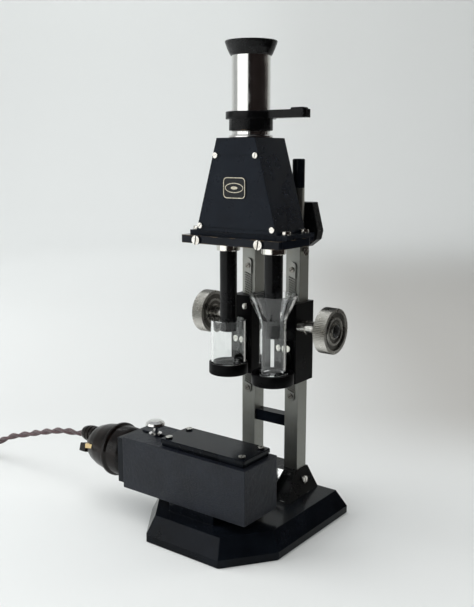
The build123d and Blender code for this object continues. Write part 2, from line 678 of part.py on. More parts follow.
def make_lamp():
    parts["lamp_box"] = make_lamp_box()
    left, right, low, high = WINDOW
    parts["diffuser"] = block(left, right, BOX[3] - 1.8, BOX[3], low, high)
    parts["cover_screws"] = make_cover_screws()
    parts["cover_plate"] = make_cover_plate() - parts["cover_screws"]
    parts["clamp_knob"] = make_clamp_knob()
    parts["terminal"] = make_terminal()
    parts["lampholder"] = make_lampholder() - parts["terminal"]
    parts["lamp_carriage"] = make_lamp_carriage()
    parts["skirt_ring"] = make_skirt_ring()
    parts["bulb"] = make_bulb()
    parts["bulb_cap"] = make_bulb_cap() & rod_x(-80, -58, LAMP_Y, LAMP_Z, 11.0)
    parts["switch_bar"] = make_switch_bar()
    parts["cord_grip"] = make_cord_grip()


def make_cord():
    parts["flex"] = make_flex()
    parts["flex_coil"] = make_flex_coil()
    parts["plug"] = make_plug()
    parts["plug_pins"] = make_plug_pins()


make_stand()
make_head()
make_eyepiece()
make_stages()
make_lamp()
make_cord()

os.makedirs("parts", exist_ok=True)
for node, shape in parts.items():
    solids = shape if isinstance(shape, list) else [shape]
    whole = Compound(children=[solid for piece in solids for solid in piece.solids()])
    export_step(whole, f"parts/{node}.step")
print(len(parts), "nodes")
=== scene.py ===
"""The looks of a plunger colorimeter: camera, light, flex and a material for every piece."""
import math

import bmesh
import bpy
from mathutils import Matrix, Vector


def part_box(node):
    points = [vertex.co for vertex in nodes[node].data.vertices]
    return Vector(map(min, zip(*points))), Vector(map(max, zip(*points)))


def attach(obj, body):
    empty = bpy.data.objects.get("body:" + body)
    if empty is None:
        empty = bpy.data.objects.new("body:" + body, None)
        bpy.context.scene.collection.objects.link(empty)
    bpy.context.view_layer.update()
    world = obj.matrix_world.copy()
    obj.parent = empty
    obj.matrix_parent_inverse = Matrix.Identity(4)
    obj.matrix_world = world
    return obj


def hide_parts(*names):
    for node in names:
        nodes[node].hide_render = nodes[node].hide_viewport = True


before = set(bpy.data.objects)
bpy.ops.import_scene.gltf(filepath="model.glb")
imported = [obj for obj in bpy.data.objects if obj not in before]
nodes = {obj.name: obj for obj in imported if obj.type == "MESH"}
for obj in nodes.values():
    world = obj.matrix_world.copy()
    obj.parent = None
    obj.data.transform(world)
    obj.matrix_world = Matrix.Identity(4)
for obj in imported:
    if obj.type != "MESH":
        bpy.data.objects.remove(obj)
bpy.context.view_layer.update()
MM = 0.001

# ---------------------------------------------------------------- camera and light

CAMERA_AT = (0.3562, -0.4734, 0.2818)
CAMERA_TURN = 36.95       # degrees to the left of straight back
CAMERA_DROP = 10.46       # degrees below level
FOCAL = 62.0              # millimetres
SENSOR_WIDTH = 36.0       # millimetres


def make_camera():
    data = bpy.data.cameras.new("camera")
    data.sensor_fit = "HORIZONTAL"
    data.sensor_width = SENSOR_WIDTH
    data.lens = FOCAL
    data.clip_start = 0.02
    camera = bpy.data.objects.new("camera", data)
    camera.location = CAMERA_AT
    camera.rotation_euler = (math.radians(90 - CAMERA_DROP), 0, math.radians(CAMERA_TURN))
    bpy.context.scene.collection.objects.link(camera)
    bpy.context.scene.camera = camera


def make_light(name, spot, aim, size, power, colour):
    data = bpy.data.lights.new(name, "AREA")
    data.shape = "RECTANGLE"
    data.size, data.size_y = size
    data.energy = power
    data.color = colour
    light = bpy.data.objects.new(name, data)
    light.location = spot
    light.rotation_euler = (Vector(aim) - Vector(spot)).to_track_quat("-Z", "Y").to_euler()
    light.visible_camera = False
    bpy.context.scene.collection.objects.link(light)
    return light


MIDDLE = (0, 0, 0.16)     # middle of the object, where most lights point
COOL, NEUTRAL, WARM = (0.97, 0.99, 1.0), (1.0, 0.995, 0.98), (1.0, 0.97, 0.93)


def make_lights():
    window = make_light("window", (-1.2, -0.6, 0.75), MIDDLE, (1.2, 1.2), 14, COOL)
    window.visible_glossy = False
    make_light("sheet", (-0.42, -1.3, 0.5), MIDDLE, (1.8, 1.1), 6.5, (0.98, 0.99, 1.0))
    overhead = make_light("overhead", (-0.4, -0.3, 1.7), (-0.2, 0, 0), (1.4, 1.4), 10.5, NEUTRAL)
    overhead.visible_glossy = False
    make_light("wall_wash", (-1.0, 0.7, 1.5), (-1.9, 1.4, 0.4), (0.9, 0.6), 9, COOL)
    make_light("rim", (0.9, 1.2, 0.8), MIDDLE, (0.5, 0.9), 3.5, WARM)
    world = bpy.data.worlds.new("studio")
    world.use_nodes = True
    world.node_tree.nodes["Background"].inputs["Color"].default_value = (0.86, 0.89, 0.92, 1)
    world.node_tree.nodes["Background"].inputs["Strength"].default_value = 0.5
    bpy.context.scene.world = world


FLAG_REACH = 0.6          # distance of the black flag from the middle
FLAG_FROM, FLAG_TO = -70, 62    # degrees from +X, the dark side of the room
FLAG_LOW, FLAG_HIGH = 0.002, 1.9    # heights of its two edges
FLAG_STEPS = 24


def make_flag():
    """A curved black card round the dark side of the room, which only reflections see."""
    mesh = bmesh.new()
    rows = []
    for number in range(FLAG_STEPS + 1):
        turn = math.radians(FLAG_FROM + (FLAG_TO - FLAG_FROM) * number / FLAG_STEPS)
        x, y = FLAG_REACH * math.cos(turn), FLAG_REACH * math.sin(turn)
        rows.append([mesh.verts.new((x, y, height)) for height in (FLAG_LOW, FLAG_HIGH)])
    for here, after in zip(rows, rows[1:]):
        mesh.faces.new((here[0], after[0], after[1], here[1]))
    data = bpy.data.meshes.new("flag")
    mesh.to_mesh(data)
    mesh.free()
    data.materials.append(felt("flag_felt", (0.004, 0.003, 0.003), (0.012, 0.007, 0.006)))
    flag = bpy.data.objects.new("flag", data)
    bpy.context.scene.collection.objects.link(flag)
    flag.visible_camera = False
    flag.visible_diffuse = False
    flag.visible_shadow = False
    flag.visible_transmission = False


# ---------------------------------------------------------------- small tools for materials

def new_material(name):
    material = bpy.data.materials.new(name)
    material.use_nodes = True
    return material, material.node_tree, material.node_tree.nodes["Principled BSDF"]


def place(tree, origin=(0, 0, 0), stretch=(1, 1, 1)):
    """Object coordinates, shifted so that origin is zero and then stretched."""
    coords = tree.nodes.new("ShaderNodeTexCoord")
    shift = tree.nodes.new("ShaderNodeVectorMath")
    shift.operation = "SUBTRACT"
    shift.inputs[1].default_value = origin
    scale = tree.nodes.new("ShaderNodeVectorMath")
    scale.operation = "MULTIPLY"
    scale.inputs[1].default_value = stretch
    tree.links.new(coords.outputs["Object"], shift.inputs[0])
    tree.links.new(shift.outputs[0], scale.inputs[0])
    return scale.outputs[0]


def noise(tree, size, detail=4.0, rough=0.55, where=None):
    """Noise whose lumps are about size metres across."""
    texture = tree.nodes.new("ShaderNodeTexNoise")
    texture.inputs["Scale"].default_value = 1 / size
    texture.inputs["Detail"].default_value = detail
    texture.inputs["Roughness"].default_value = rough
    tree.links.new(where or place(tree), texture.inputs["Vector"])
    return texture.outputs["Fac"]


def cells(tree, size, feature="DISTANCE_TO_EDGE"):
    texture = tree.nodes.new("ShaderNodeTexVoronoi")
    texture.feature = feature
    texture.inputs["Scale"].default_value = 1 / size
    tree.links.new(place(tree), texture.inputs["Vector"])
    return texture.outputs["Distance"]


def along(tree, direction):
    """How far a point lies along a direction, in object coordinates."""
    dot = tree.nodes.new("ShaderNodeVectorMath")
    dot.operation = "DOT_PRODUCT"
    dot.inputs[1].default_value = direction
    tree.links.new(place(tree), dot.inputs[0])
    return dot.outputs["Value"]


def remap(tree, value, low, high, to_low, to_high, curve="LINEAR"):
    """A line or curve from low..high to to_low..to_high, held at its ends."""
    node = tree.nodes.new("ShaderNodeMapRange")
    node.interpolation_type = curve
    ends = {"From Min": low, "From Max": high, "To Min": to_low, "To Max": to_high}
    for name, number in ends.items():
        node.inputs[name].default_value = number
    tree.links.new(value, node.inputs["Value"])
    return node.outputs["Result"]


def blend(tree, factor, first, second):
    """first where the factor is 0, second where it is 1; each is a colour or a socket."""
    node = tree.nodes.new("ShaderNodeMix")
    node.data_type = "RGBA"
    tree.links.new(factor, node.inputs["Factor"])
    for socket, colour in ((node.inputs[6], first), (node.inputs[7], second)):
        if isinstance(colour, bpy.types.NodeSocket):
            tree.links.new(colour, socket)
        else:
            socket.default_value = (*colour, 1)
    return node.outputs[2]


def multiply(tree, first, second):
    node = tree.nodes.new("ShaderNodeMath")
    node.operation = "MULTIPLY"
    for socket, value in zip(node.inputs, (first, second)):
        if isinstance(value, bpy.types.NodeSocket):
            tree.links.new(value, socket)
        else:
            socket.default_value = value
    return node.outputs[0]


def bump(tree, height, strength, depth, below=None):
    node = tree.nodes.new("ShaderNodeBump")
    node.inputs["Strength"].default_value = strength
    node.inputs["Distance"].default_value = depth
    tree.links.new(height, node.inputs["Height"])
    if below:
        tree.links.new(below, node.inputs["Normal"])
    return node.outputs["Normal"]


def edges(tree, radius, threshold=0.03):
    """1 along sharp edges, 0 on open faces."""
    rounded = tree.nodes.new("ShaderNodeBevel")
    rounded.samples = 4
    rounded.inputs["Radius"].default_value = radius
    flat = tree.nodes.new("ShaderNodeNewGeometry")
    dot = tree.nodes.new("ShaderNodeVectorMath")
    dot.operation = "DOT_PRODUCT"
    tree.links.new(rounded.outputs["Normal"], dot.inputs[0])
    tree.links.new(flat.outputs["Normal"], dot.inputs[1])
    return remap(tree, dot.outputs["Value"], 1 - threshold * 0.2, 1 - threshold * 3, 0, 1)


# ---------------------------------------------------------------- materials

def paint(name, dark, light, rough, worn=None, wear=0.0, gloss=0.25):
    """Stoved enamel: slight orange peel, patches of handling gloss, dust and worn edges."""
    material, tree, shader = new_material(name)
    colour = blend(tree, remap(tree, noise(tree, 0.025), 0.35, 0.7, 0, 1), dark, light)
    dust = remap(tree, noise(tree, 0.0009, 2), 0.66, 0.78, 0, 0.12)
    colour = blend(tree, dust, colour, [2.0 * part + 0.006 for part in light])
    if worn:
        patches = remap(tree, noise(tree, 0.009, 5), 0.6 - 0.2 * wear, 0.7, 0, 1)
        chipped = multiply(tree, edges(tree, 0.0007), patches)
        colour = blend(tree, chipped, colour, worn)
        tree.links.new(chipped, shader.inputs["Metallic"])
    tree.links.new(colour, shader.inputs["Base Color"])
    streaks = remap(tree, noise(tree, 0.012, 6, 0.65), 0.3, 0.7, rough * 0.75, rough * 1.3)
    tree.links.new(streaks, shader.inputs["Roughness"])
    tree.links.new(bump(tree, noise(tree, 0.0011, 2), 0.03, 0.0004), shader.inputs["Normal"])
    shader.inputs["Specular IOR Level"].default_value = gloss
    return material


def leatherette(name, dark, light):
    """Black leathercloth: a crackle of fine grains over larger folds, worn paler on its ridges."""
    material, tree, shader = new_material(name)
    grains = remap(tree, cells(tree, 0.0011), 0.0, 0.28, 0, 1)
    lumps = noise(tree, 0.0026, 5, 0.7)
    colour = blend(tree, remap(tree, noise(tree, 0.02, 4), 0.3, 0.7, 0, 1), dark, light)
    ridges = multiply(tree, grains, remap(tree, lumps, 0.48, 0.72, 0, 0.8))
    colour = blend(tree, ridges, colour, [1.7 * part + 0.006 for part in light])
    tree.links.new(colour, shader.inputs["Base Color"])
    tree.links.new(remap(tree, lumps, 0.3, 0.7, 0.34, 0.56), shader.inputs["Roughness"])
    fine = bump(tree, grains, 0.5, 0.0003)
    tree.links.new(bump(tree, lumps, 0.9, 0.0007, fine), shader.inputs["Normal"])
    shader.inputs["Specular IOR Level"].default_value = 0.3
    return material


def steel(name, colour, rough, grain=(1, 1, 0.03), stain=(0.2, 0.17, 0.12), stained=0.25):
    """Drawn or ground steel with grain along one way and faint stains."""
    material, tree, shader = new_material(name)
    lines = noise(tree, 0.0006, 3, 0.6, place(tree, stretch=grain))
    base = blend(tree, remap(tree, lines, 0.3, 0.7, 0, 1), [0.8 * part for part in colour], colour)
    spots = remap(tree, noise(tree, 0.007, 6, 0.7), 0.52, 0.72, 0, stained)
    tree.links.new(blend(tree, spots, base, stain), shader.inputs["Base Color"])
    brushed = remap(tree, lines, 0.3, 0.7, rough * 0.8, rough * 1.3)
    tree.links.new(brushed, shader.inputs["Roughness"])
    tree.links.new(bump(tree, lines, 0.12, 0.0001), shader.inputs["Normal"])
    shader.inputs["Metallic"].default_value = 1.0
    return material


BAND_EDGE = 0.4           # millimetres over which a dark band fades in


def turned_steel(name, colour, rough, centre, bands=()):
    """Steel turned on a lathe: fine rings about a line along X through centre, and darker bands."""
    material, tree, shader = new_material(name)
    rings = tree.nodes.new("ShaderNodeTexWave")
    rings.wave_type = "RINGS"
    rings.rings_direction = "X"
    rings.inputs["Scale"].default_value = 420
    rings.inputs["Distortion"].default_value = 0.6
    rings.inputs["Detail"].default_value = 2
    tree.links.new(place(tree, origin=centre), rings.inputs["Vector"])
    lines = rings.outputs["Fac"]
    base = blend(tree, lines, [0.78 * part for part in colour], colour)
    grime = remap(tree, noise(tree, 0.006, 6, 0.7), 0.5, 0.72, 0, 0.4)
    base = blend(tree, grime, base, (0.16, 0.13, 0.1))
    reach = tree.nodes.new("ShaderNodeVectorMath")
    reach.operation = "LENGTH"
    tree.links.new(place(tree, origin=centre, stretch=(0, 1, 1)), reach.inputs[0])
    for low, high in bands:
        past_low = remap(tree, reach.outputs["Value"], low * MM, (low + BAND_EDGE) * MM, 0, 1)
        short_of_high = remap(tree, reach.outputs["Value"],
                              (high - BAND_EDGE) * MM, high * MM, 1, 0)
        inside = multiply(tree, past_low, short_of_high)
        base = blend(tree, multiply(tree, inside, 0.8), base, (0.05, 0.047, 0.04))
    tree.links.new(base, shader.inputs["Base Color"])
    patches = noise(tree, 0.004, 5)
    polish = remap(tree, patches, 0.3, 0.7, rough * 0.7, rough * 1.4)
    tree.links.new(polish, shader.inputs["Roughness"])
    tree.links.new(bump(tree, lines, 0.2, 0.0001), shader.inputs["Normal"])
    shader.inputs["Metallic"].default_value = 1.0
    return material


def plated(name, colour, rough, tarnish, tarnished=0.3):
    """Chrome or nickel with smudges and a little tarnish in patches."""
    material, tree, shader = new_material(name)
    patches = remap(tree, noise(tree, 0.005, 6, 0.7), 0.5, 0.75, 0, tarnished)
    tree.links.new(blend(tree, patches, colour, tarnish), shader.inputs["Base Color"])
    smudges = remap(tree, noise(tree, 0.008, 5, 0.65), 0.35, 0.7, rough * 0.6, rough * 1.6)
    tree.links.new(smudges, shader.inputs["Roughness"])
    tree.links.new(bump(tree, noise(tree, 0.0015, 3), 0.03, 0.0002), shader.inputs["Normal"])
    shader.inputs["Metallic"].default_value = 1.0
    return material


def moulded(name, dark, light, rough):
    """Bakelite or ebonite: faint brown mottling under a worn polish."""
    material, tree, shader = new_material(name)
    mottle = remap(tree, noise(tree, 0.006, 7, 0.7), 0.38, 0.68, 0, 1)
    colour = blend(tree, mottle, dark, light)
    specks = remap(tree, noise(tree, 0.0006, 1), 0.68, 0.75, 0, 0.3)
    colour = blend(tree, specks, colour, [2.5 * part + 0.01 for part in light])
    tree.links.new(colour, shader.inputs["Base Color"])
    tree.links.new(remap(tree, noise(tree, 0.01, 6, 0.6), 0.3, 0.7, rough * 0.7, rough * 1.5),
                   shader.inputs["Roughness"])
    tree.links.new(bump(tree, noise(tree, 0.003, 3), 0.04, 0.0003), shader.inputs["Normal"])
    shader.inputs["Specular IOR Level"].default_value = 0.25
    return material


def glass(name, tint, rough, index=1.48):
    """Clear glass with faint smears; a ground face is only rougher."""
    material, tree, shader = new_material(name)
    smears = remap(tree, noise(tree, 0.009, 5, 0.6), 0.45, 0.75, 0, 1)
    colour = blend(tree, smears, tint, [0.96 * part for part in tint])
    tree.links.new(colour, shader.inputs["Base Color"])
    tree.links.new(remap(tree, smears, 0, 1, rough, rough * 1.6), shader.inputs["Roughness"])
    shader.inputs["Transmission Weight"].default_value = 1.0
    shader.inputs["IOR"].default_value = index
    return material


def braid(name, dark, light):
    """Cotton braid of two crossing sets of threads, run round and along each strand."""
    material, tree, shader = new_material(name)
    uv = tree.nodes.new("ShaderNodeTexCoord")
    threads = []
    for lean in (1, -1):
        turn = tree.nodes.new("ShaderNodeMapping")
        turn.inputs["Rotation"].default_value = (0, 0, math.radians(45 * lean))
        wave = tree.nodes.new("ShaderNodeTexWave")
        wave.inputs["Scale"].default_value = 3.0
        wave.inputs["Distortion"].default_value = 0.8
        wave.inputs["Detail"].default_value = 2
        tree.links.new(uv.outputs["UV"], turn.inputs["Vector"])
        tree.links.new(turn.outputs["Vector"], wave.inputs["Vector"])
        threads.append(wave.outputs["Fac"])
    weave = multiply(tree, threads[0], threads[1])
    colour = blend(tree, remap(tree, weave, 0.05, 0.75, 0, 1), dark, light)
    fade = remap(tree, noise(tree, 0.008, 5, 0.7), 0.42, 0.7, 0, 0.45)
    tree.links.new(blend(tree, fade, colour, (0.16, 0.1, 0.1)), shader.inputs["Base Color"])
    tree.links.new(remap(tree, weave, 0, 1, 0.9, 0.7), shader.inputs["Roughness"])
    tree.links.new(bump(tree, weave, 0.7, 0.0003), shader.inputs["Normal"])
    shader.inputs["Sheen Weight"].default_value = 0.4
    shader.inputs["Sheen Roughness"].default_value = 0.5
    return material


MATT = 0.9                # roughness of felt and paper


def felt(name, colour, shade):
    """Matt black felt whose colour drifts a little, for the flag."""
    material, tree, shader = new_material(name)
    tree.links.new(blend(tree, noise(tree, 0.6, 2), colour, shade), shader.inputs["Base Color"])
    shader.inputs["Roughness"].default_value = MATT
    shader.inputs["Specular IOR Level"].default_value = 0.2
    return material


SHADE_SIDE = (-0.02, 0.3)    # metres to the camera's right of the middle, where the painted shade grows
SHADE_NEAR = (0.02, 0.3)     # metres behind the middle, where the painted shade and the painted dip grow
SHADE_FAR = (1.0, 2.2)       # metres behind the middle, where the painted shade fades
PAINTED_DIP_FAR = (0.9, 1.9)         # metres behind the middle, where the painted dip, a weaker painted shade, fades


def sweep_paper_painted_shade(colour, shaded):
    """Pale paper with painted shade: a soft shade behind the object, away from the window, and a
    weaker dip of painted shade behind the whole object.
    """
    material, tree, shader = new_material("sweep_paper_painted_shade")
    turn = math.radians(CAMERA_TURN)
    across = along(tree, (math.cos(turn), math.sin(turn), 0))
    behind = along(tree, (-math.sin(turn), math.cos(turn), 0))
    side = remap(tree, across, *SHADE_SIDE, 0, 1, "SMOOTHSTEP")
    near = remap(tree, behind, *SHADE_NEAR, 0, 1, "SMOOTHSTEP")
    far = remap(tree, behind, *SHADE_FAR, 1, 0.15, "SMOOTHSTEP")
    shade = multiply(tree, multiply(tree, side, near), far)
    # painted shade: a weaker darkening of the paper behind the whole object
    painted_dip = multiply(tree, near, remap(tree, behind, *PAINTED_DIP_FAR, 1, 0, "SMOOTHSTEP"))
    paper_with_painted_dip = blend(tree, painted_dip, colour, [0.86 * part for part in colour])
    tree.links.new(blend(tree, shade, paper_with_painted_dip, shaded), shader.inputs["Base Color"])
    shader.inputs["Roughness"].default_value = MATT
    shader.inputs["Specular IOR Level"].default_value = 0.2
    return material


def badge_metal(name, metal, ground):
    """Raised lines in tarnished silver on a black ground; the raised faces lie further forward."""
    material, tree, shader = new_material(name)
    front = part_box("badge")[0]
    position = tree.nodes.new("ShaderNodeSeparateXYZ")
    tree.links.new(place(tree), position.inputs[0])
    raised = remap(tree, position.outputs["Y"], front.y + 0.05 * MM, front.y + 0.12 * MM, 1, 0)
    tarnish = remap(tree, noise(tree, 0.0016, 5, 0.7), 0.35, 0.7, 0, 0.75)
    silver = blend(tree, tarnish, metal, [0.3 * part for part in metal])
    tree.links.new(blend(tree, raised, ground, silver), shader.inputs["Base Color"])
    tree.links.new(raised, shader.inputs["Metallic"])
    tree.links.new(remap(tree, tarnish, 0, 1, 0.3, 0.5), shader.inputs["Roughness"])
    shader.inputs["Specular IOR Level"].default_value = 0.25
    return material


SLOT_SHADE_START, SLOT_SHADE_FULL = 0.1, 0.3    # millimetres below the head where the painted shade in the slots starts and where it is full


def slotted(name, node, axis, colour, rough, tarnish):
    """Bright screw heads whose slots are darkened with painted shade; axis is the way the heads
    face.
    """
    material, tree, shader = new_material(name)
    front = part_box(node)[0].y if axis == "Y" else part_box(node)[1].z
    position = tree.nodes.new("ShaderNodeSeparateXYZ")
    tree.links.new(place(tree), position.inputs[0])
    inward = MM if axis == "Y" else -MM
    shade_start, shade_full = front + SLOT_SHADE_START * inward, front + SLOT_SHADE_FULL * inward
    slot_shade = remap(tree, position.outputs[axis], shade_start, shade_full, 0, 1)
    patches = remap(tree, noise(tree, 0.004, 6, 0.7), 0.45, 0.72, 0, 0.6)
    face = blend(tree, patches, colour, tarnish)
    # painted shade: the slots darken with depth below the head face
    tree.links.new(blend(tree, slot_shade, face, (0.05, 0.045, 0.04)), shader.inputs["Base Color"])
    tree.links.new(remap(tree, patches, 0, 0.6, rough, rough * 2), shader.inputs["Roughness"])
    shader.inputs["Metallic"].default_value = 1.0
    return material


def knob_centre(name):
    low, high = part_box(name)
    return (low + high) / 2


KNOB_BANDS = ((6.0, 9.2), (10.6, 14.6))    # dark bands, millimetres from the axis
WORN_BRASS = (0.42, 0.3, 0.17)
WORN_STEEL = (0.3, 0.3, 0.29)


def make_materials():
    """Each material with the CAD nodes that wear it."""
    black = paint("black_enamel", (0.0022, 0.0028, 0.004), (0.005, 0.0065, 0.0095), 0.14, gloss=0.1)
    return [
        (black, ["base", "cover_plate", "column_caps", "crossbar"]),
        (paint("plate_enamel", (0.003, 0.004, 0.006), (0.007, 0.009, 0.014), 0.16,
               WORN_BRASS, 0.8, gloss=0.12),
         ["head_plate"]),
        (paint("housing_paint", (0.0022, 0.004, 0.008), (0.0045, 0.0075, 0.013), 0.3, gloss=0.12),
         ["prism_housing", "front_plate"]),
        (paint("foot_paint", (0.002, 0.0022, 0.0024), (0.005, 0.0054, 0.0054), 0.3,
               WORN_STEEL, 0.1, gloss=0.12),
         ["foot", "head_bracket"]),
        (paint("stage_paint", (0.0012, 0.0012, 0.0014), (0.0035, 0.0035, 0.0037), 0.34, gloss=0.05),
         ["left_carriage", "right_carriage", "left_cup_holder", "right_cup_holder"]),
        (paint("tube_black", (0.0018, 0.0018, 0.002), (0.004, 0.004, 0.0044), 0.24,
               WORN_BRASS, 0.02, gloss=0.15),
         ["left_plunger_tube", "right_plunger_tube", "collar"]),
        (paint("lamp_black", (0.004, 0.005, 0.007), (0.008, 0.010, 0.014), 0.3, gloss=0.15),
         ["lamp_carriage"]),
        (plated("mirror", (0.72, 0.73, 0.73), 0.06, (0.3, 0.28, 0.24)), ["reflector"]),
        (steel("column_steel", (0.31, 0.315, 0.29), 0.46), ["left_column", "right_column"]),
        (steel("rack_steel", (0.28, 0.28, 0.26), 0.36, (0.05, 1, 1)), ["left_rack", "right_rack"]),
        (plated("bright_screws", (0.7, 0.68, 0.63), 0.2, (0.35, 0.27, 0.17)),
         ["side_screws", "housing_screws", "front_screws", "left_stage_screws",
          "right_stage_screws"]),
        (slotted("rack_screw_steel", "rack_screws", "Y",
                 (0.2, 0.19, 0.17), 0.3, (0.08, 0.07, 0.05)),
         ["rack_screws"]),
        (slotted("plate_screw_steel", "plate_screws", "Y",
                 (0.72, 0.7, 0.66), 0.22, (0.4, 0.33, 0.22)),
         ["plate_screws"]),
        (slotted("cover_screw_steel", "cover_screws", "Z",
                 (0.66, 0.65, 0.61), 0.25, (0.3, 0.26, 0.2)),
         ["cover_screws"]),
        (turned_steel("left_shaft_steel", (0.74, 0.72, 0.68), 0.2, knob_centre("left_knob")),
         ["left_pinion_shaft"]),
        (turned_steel("right_shaft_steel", (0.74, 0.72, 0.68), 0.2, knob_centre("right_knob")),
         ["right_pinion_shaft"]),
        (turned_steel("left_knob_steel", (0.42, 0.41, 0.38), 0.3,
                      knob_centre("left_knob"), KNOB_BANDS),
         ["left_knob"]),
        (turned_steel("right_knob_steel", (0.42, 0.41, 0.38), 0.3,
                      knob_centre("right_knob"), KNOB_BANDS),
         ["right_knob"]),
        (plated("collar_steel", (0.8, 0.78, 0.73), 0.14, (0.4, 0.32, 0.2)), ["plunger_collars"]),
        (plated("chrome", (0.82, 0.81, 0.79), 0.15, (0.4, 0.36, 0.3), 0.15),
         ["draw_tube", "eyepiece_socket", "clamp_knob"]),
        (badge_metal("badge_metal", (0.6, 0.55, 0.44), (0.004, 0.0045, 0.006)), ["badge"]),
        (plated("brass", (0.8, 0.6, 0.32), 0.2, (0.3, 0.2, 0.1)),
         ["terminal", "bulb_cap", "plug_pins"]),
        (moulded("knob_centre", (0.006, 0.006, 0.006), (0.014, 0.014, 0.014), 0.2),
         ["left_knob_cap", "right_knob_cap"]),
        (moulded("ebonite", (0.0012, 0.0012, 0.0014), (0.003, 0.003, 0.0036), 0.24), ["eyecup"]),
        (moulded("bakelite", (0.002, 0.0016, 0.0016), (0.009, 0.005, 0.0035), 0.2),
         ["lampholder", "skirt_ring", "cord_grip", "switch_bar"]),
        (moulded("plug_black", (0.005, 0.004, 0.004), (0.012, 0.009, 0.007), 0.25), ["plug"]),
        (glass("optic_glass", (0.96, 0.98, 0.98), 0.0, 1.6), ["lenses", "prisms"]),
        (glass("cup_glass", (0.985, 0.995, 0.99), 0.0), ["straight_cup", "hock_cup"]),
        (glass("rod_glass", (0.9, 0.93, 0.92), 0.0, 1.5), ["plunger_rods"]),
        (glass("bulb_glass", (0.96, 0.96, 0.94), 0.0), ["bulb"]),
        (glass("window_glass", (0.93, 0.94, 0.93), 0.45), ["diffuser"]),
        (leatherette("lamp_leatherette", (0.005, 0.0065, 0.010), (0.010, 0.0125, 0.019)),
         ["lamp_box"]),
        (braid("coil_braid", (0.03, 0.008, 0.01), (0.11, 0.045, 0.05)), ["flex", "flex_coil"]),
    ]


def dress_nodes():
    for material, names in make_materials():
        for name in names:
            mesh = nodes[name].data
            mesh.materials.clear()
            mesh.materials.append(material)
            for polygon in mesh.polygons:
                polygon.material_index = 0


# ---------------------------------------------------------------- broken edges on machined parts

EDGE_WIDTHS = {           # millimetres
    "base": 0.9, "foot": 0.5, "head_plate": 0.45, "prism_housing": 0.7, "front_plate": 0.3,
    "head_bracket": 0.6, "lamp_box": 0.5, "cover_plate": 0.25, "lamp_carriage": 0.3,
    "left_carriage": 0.25, "right_carriage": 0.25, "left_column": 0.3, "right_column": 0.3,
    "crossbar": 0.3, "left_cup_holder": 0.2, "right_cup_holder": 0.2, "collar": 0.25,
    "switch_bar": 0.25, "left_knob": 0.12, "right_knob": 0.12, "side_screws": 0.2,
    "plate_screws": 0.2, "housing_screws": 0.2, "front_screws": 0.12, "cover_screws": 0.15,
    "plug": 0.3, "lampholder": 0.2, "skirt_ring": 0.2, "reflector": 0.2, "badge": 0.1,
    "eyepiece_socket": 0.1, "left_stage_screws": 0.12, "right_stage_screws": 0.12,
    "rack_screws": 0.1,
}


def break_edges():
    for name, width in EDGE_WIDTHS.items():
        piece = nodes[name]
        weld = piece.modifiers.new("weld", "WELD")
        weld.merge_threshold = 0.002 * MM
        bevel = piece.modifiers.new("bevel", "BEVEL")
        bevel.width = width * MM
        bevel.segments = 2
        bevel.limit_method = "ANGLE"
        bevel.angle_limit = math.radians(34)
        bevel.harden_normals = True
        bevel.use_clamp_overlap = True


# ---------------------------------------------------------------- flex

FLEX_REST = 0.00285       # height of the flex's middle where it lies on the floor
FLEX_ROUTE = [            # metres, from the cord grip to the start of the coil
    (-0.137, -0.0291, 0.0514),
    (-0.149, -0.0291, 0.0490),
    (-0.162, -0.0291, 0.0488),
    (-0.189, -0.0280, 0.0415),
    (-0.217, -0.0260, 0.0325),
    (-0.243, -0.0272, 0.0250),
    (-0.264, -0.0286, 0.0120),
    (-0.282, -0.0277, FLEX_REST),
    (-0.300, -0.0277, FLEX_REST),
]
COIL_CENTRE = (-0.324, -0.0684)
COIL_RADIUS = 0.0407      # of the outermost turn's centre line
FLEX_DIAMETER = 0.0054
COIL_WAYS = 3.5           # turns on each layer
CROSSING = 0.5            # turns in which the flex climbs to the upper layer
LAYER_RISE = 1.02         # height of the upper layer above the lower, in flex diameters
POINTS_PER_TURN = 24
PLUG_BACK = (-0.300, -0.1091, 0.013)
PLUG_NEAR = (-0.312, -0.1091, 0.0104)    # a last point just short of the plug
STRAND = 0.00142          # radius of each of the two strands
STRAND_OFFSET = 0.00135
TWIST_PITCH = 0.034
STRAND_SIDES = 10
STEP_LENGTH = 0.0019      # between rings of a strand
BRAID_ROUND = 0.9         # UV units for one side of a strand
BRAID_ALONG = 1000        # UV units for one metre of it


def coil_point(turn):
    """A point of the coil after some turns: inward below, across, then outward on top."""
    inward = min(turn, COIL_WAYS)
    outward = max(0.0, turn - COIL_WAYS - CROSSING)
    radius = COIL_RADIUS - FLEX_DIAMETER * (inward - outward)
    climb = min(1.0, max(0.0, (turn - COIL_WAYS) / CROSSING))
    climb = climb * climb * (3 - 2 * climb)
    angle = math.pi / 2 + 2 * math.pi * turn
    x = COIL_CENTRE[0] + radius * math.cos(angle)
    y = COIL_CENTRE[1] + radius * math.sin(angle)
    return (x, y, FLEX_REST + LAYER_RISE * FLEX_DIAMETER * climb)


def flex_points():
    turns = 2 * COIL_WAYS + CROSSING
    count = round(turns * POINTS_PER_TURN)
    coil = [coil_point(number * turns / count) for number in range(count + 1)]
    return FLEX_ROUTE + coil + [PLUG_NEAR, PLUG_BACK]


def make_route(points):
    """The route as one smooth NURBS spline, and the points along it."""
    data = bpy.data.curves.new("flex_route", "CURVE")
    data.dimensions = "3D"
    spline = data.splines.new("NURBS")
    spline.points.add(len(points) - 1)
    for point, place_at in zip(spline.points, points):
        point.co = (*place_at, 1)
    spline.order_u = 3
    spline.use_endpoint_u = True
    spline.resolution_u = 10
    route = bpy.data.objects.new("flex_route", data)
    bpy.context.scene.collection.objects.link(route)
    bpy.context.view_layer.update()
    line = bpy.data.meshes.new_from_object(route)
    places = [vertex.co.copy() for vertex in line.vertices]
    bpy.data.objects.remove(route)
    bpy.data.meshes.remove(line)
    return places


